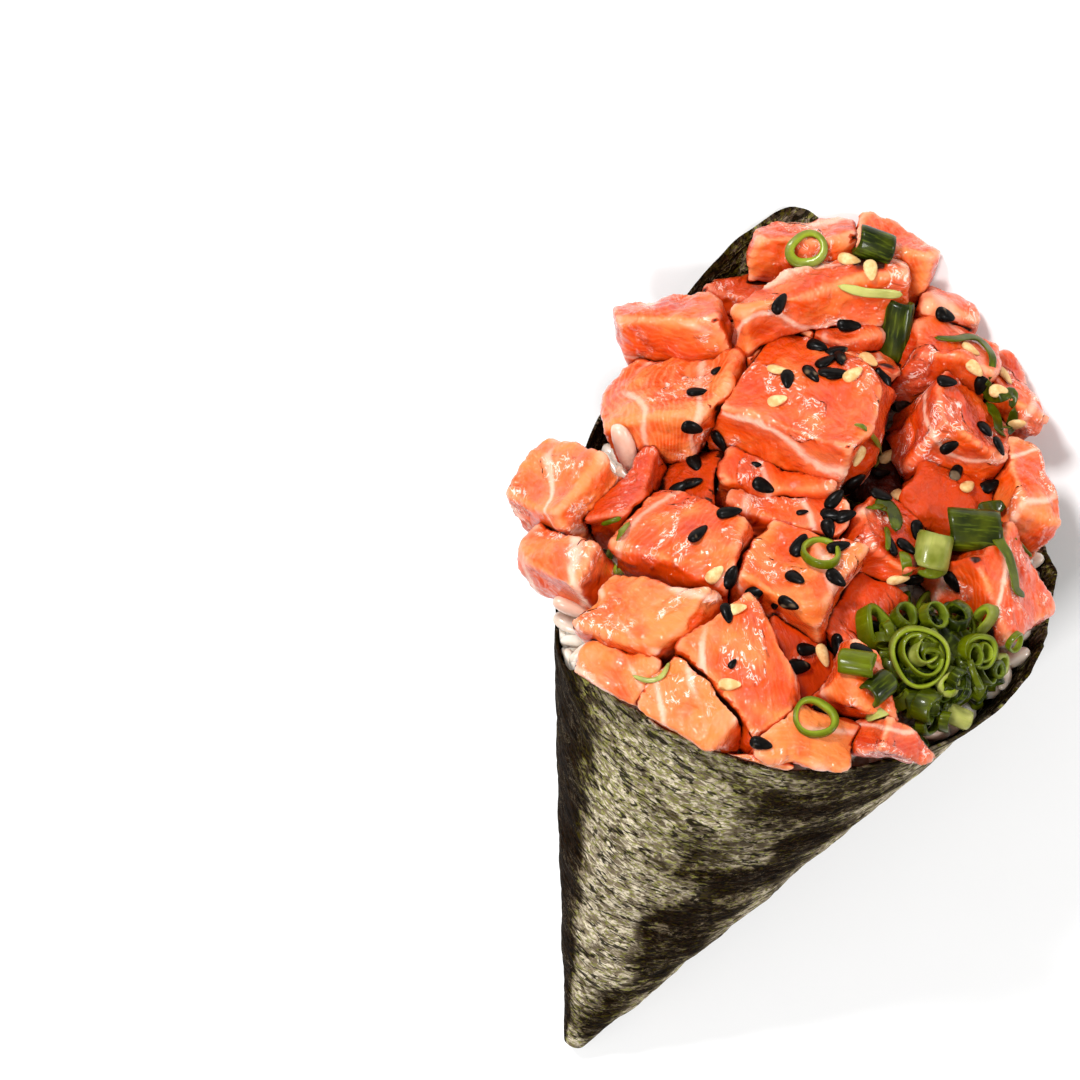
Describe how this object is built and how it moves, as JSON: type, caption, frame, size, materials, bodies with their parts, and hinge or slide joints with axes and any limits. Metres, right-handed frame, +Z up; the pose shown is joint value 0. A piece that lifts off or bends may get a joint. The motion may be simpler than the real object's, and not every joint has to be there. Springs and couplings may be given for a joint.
{
  "type": "salmon temaki hand roll",
  "caption": "Cone of rolled nori filled with rice and heaped at its slanted mouth with cut raw salmon and spring onion, lying on its side.",
  "frame": {"origin": "bottom centre of the bounding box, on the surface that the roll lies on", "axes": "+Y along the length, from the cone's tip to its mouth; +Z up, so that the heaped salmon faces up and towards +Y; +X to the right when looking from the tip to the mouth"},
  "size_m": [0.0836, 0.1464, 0.0682],
  "materials": {
    "nori": "dry seaweed sheet, dark green-black with a satin sheen",
    "rice": "moist cooked rice",
    "salmon": "wet raw salmon, orange with pale fat lines",
    "spring_onion": "wet green leaf"
  },
  "bodies": {
    "root": {"nori": "nori", "onion_back": "spring_onion", "onion_heap": "spring_onion", "onion_light": "spring_onion", "onion_side": "spring_onion", "onion_top": "spring_onion", "rice": "rice", "salmon_arc": "salmon", "salmon_back_edge": "salmon", "salmon_back_slab": "salmon", "salmon_back_top": "salmon", "salmon_behind_crown": "salmon", "salmon_crown": "salmon", "salmon_crown_lobe": "salmon", "salmon_crown_side": "salmon", "salmon_far_right": "salmon", "salmon_front_far_right": "salmon", "salmon_front_left": "salmon", "salmon_front_low": "salmon", "salmon_front_middle": "salmon", "salmon_front_right": "salmon", "salmon_in_hollow": "salmon", "salmon_in_shade_left": "salmon", "salmon_in_shade_low": "salmon", "salmon_in_shade_middle": "salmon", "salmon_in_shade_right": "salmon", "salmon_left_back": "salmon", "salmon_left_cube": "salmon", "salmon_left_edge": "salmon", "salmon_left_slab": "salmon", "salmon_low_left": "salmon", "salmon_low_middle": "salmon", "salmon_low_right": "salmon", "salmon_middle_block": "salmon", "salmon_middle_slab": "salmon", "salmon_right_band": "salmon", "salmon_right_block": "salmon", "salmon_right_face": "salmon", "salmon_right_rim": "salmon", "salmon_right_top": "salmon", "salmon_side_left": "salmon", "salmon_tongue": "salmon", "salmon_under_arc": "salmon", "salmon_under_crown": "salmon", "salmon_under_face": "salmon", "salmon_under_middle": "salmon"}
  },
  "joints": []
}
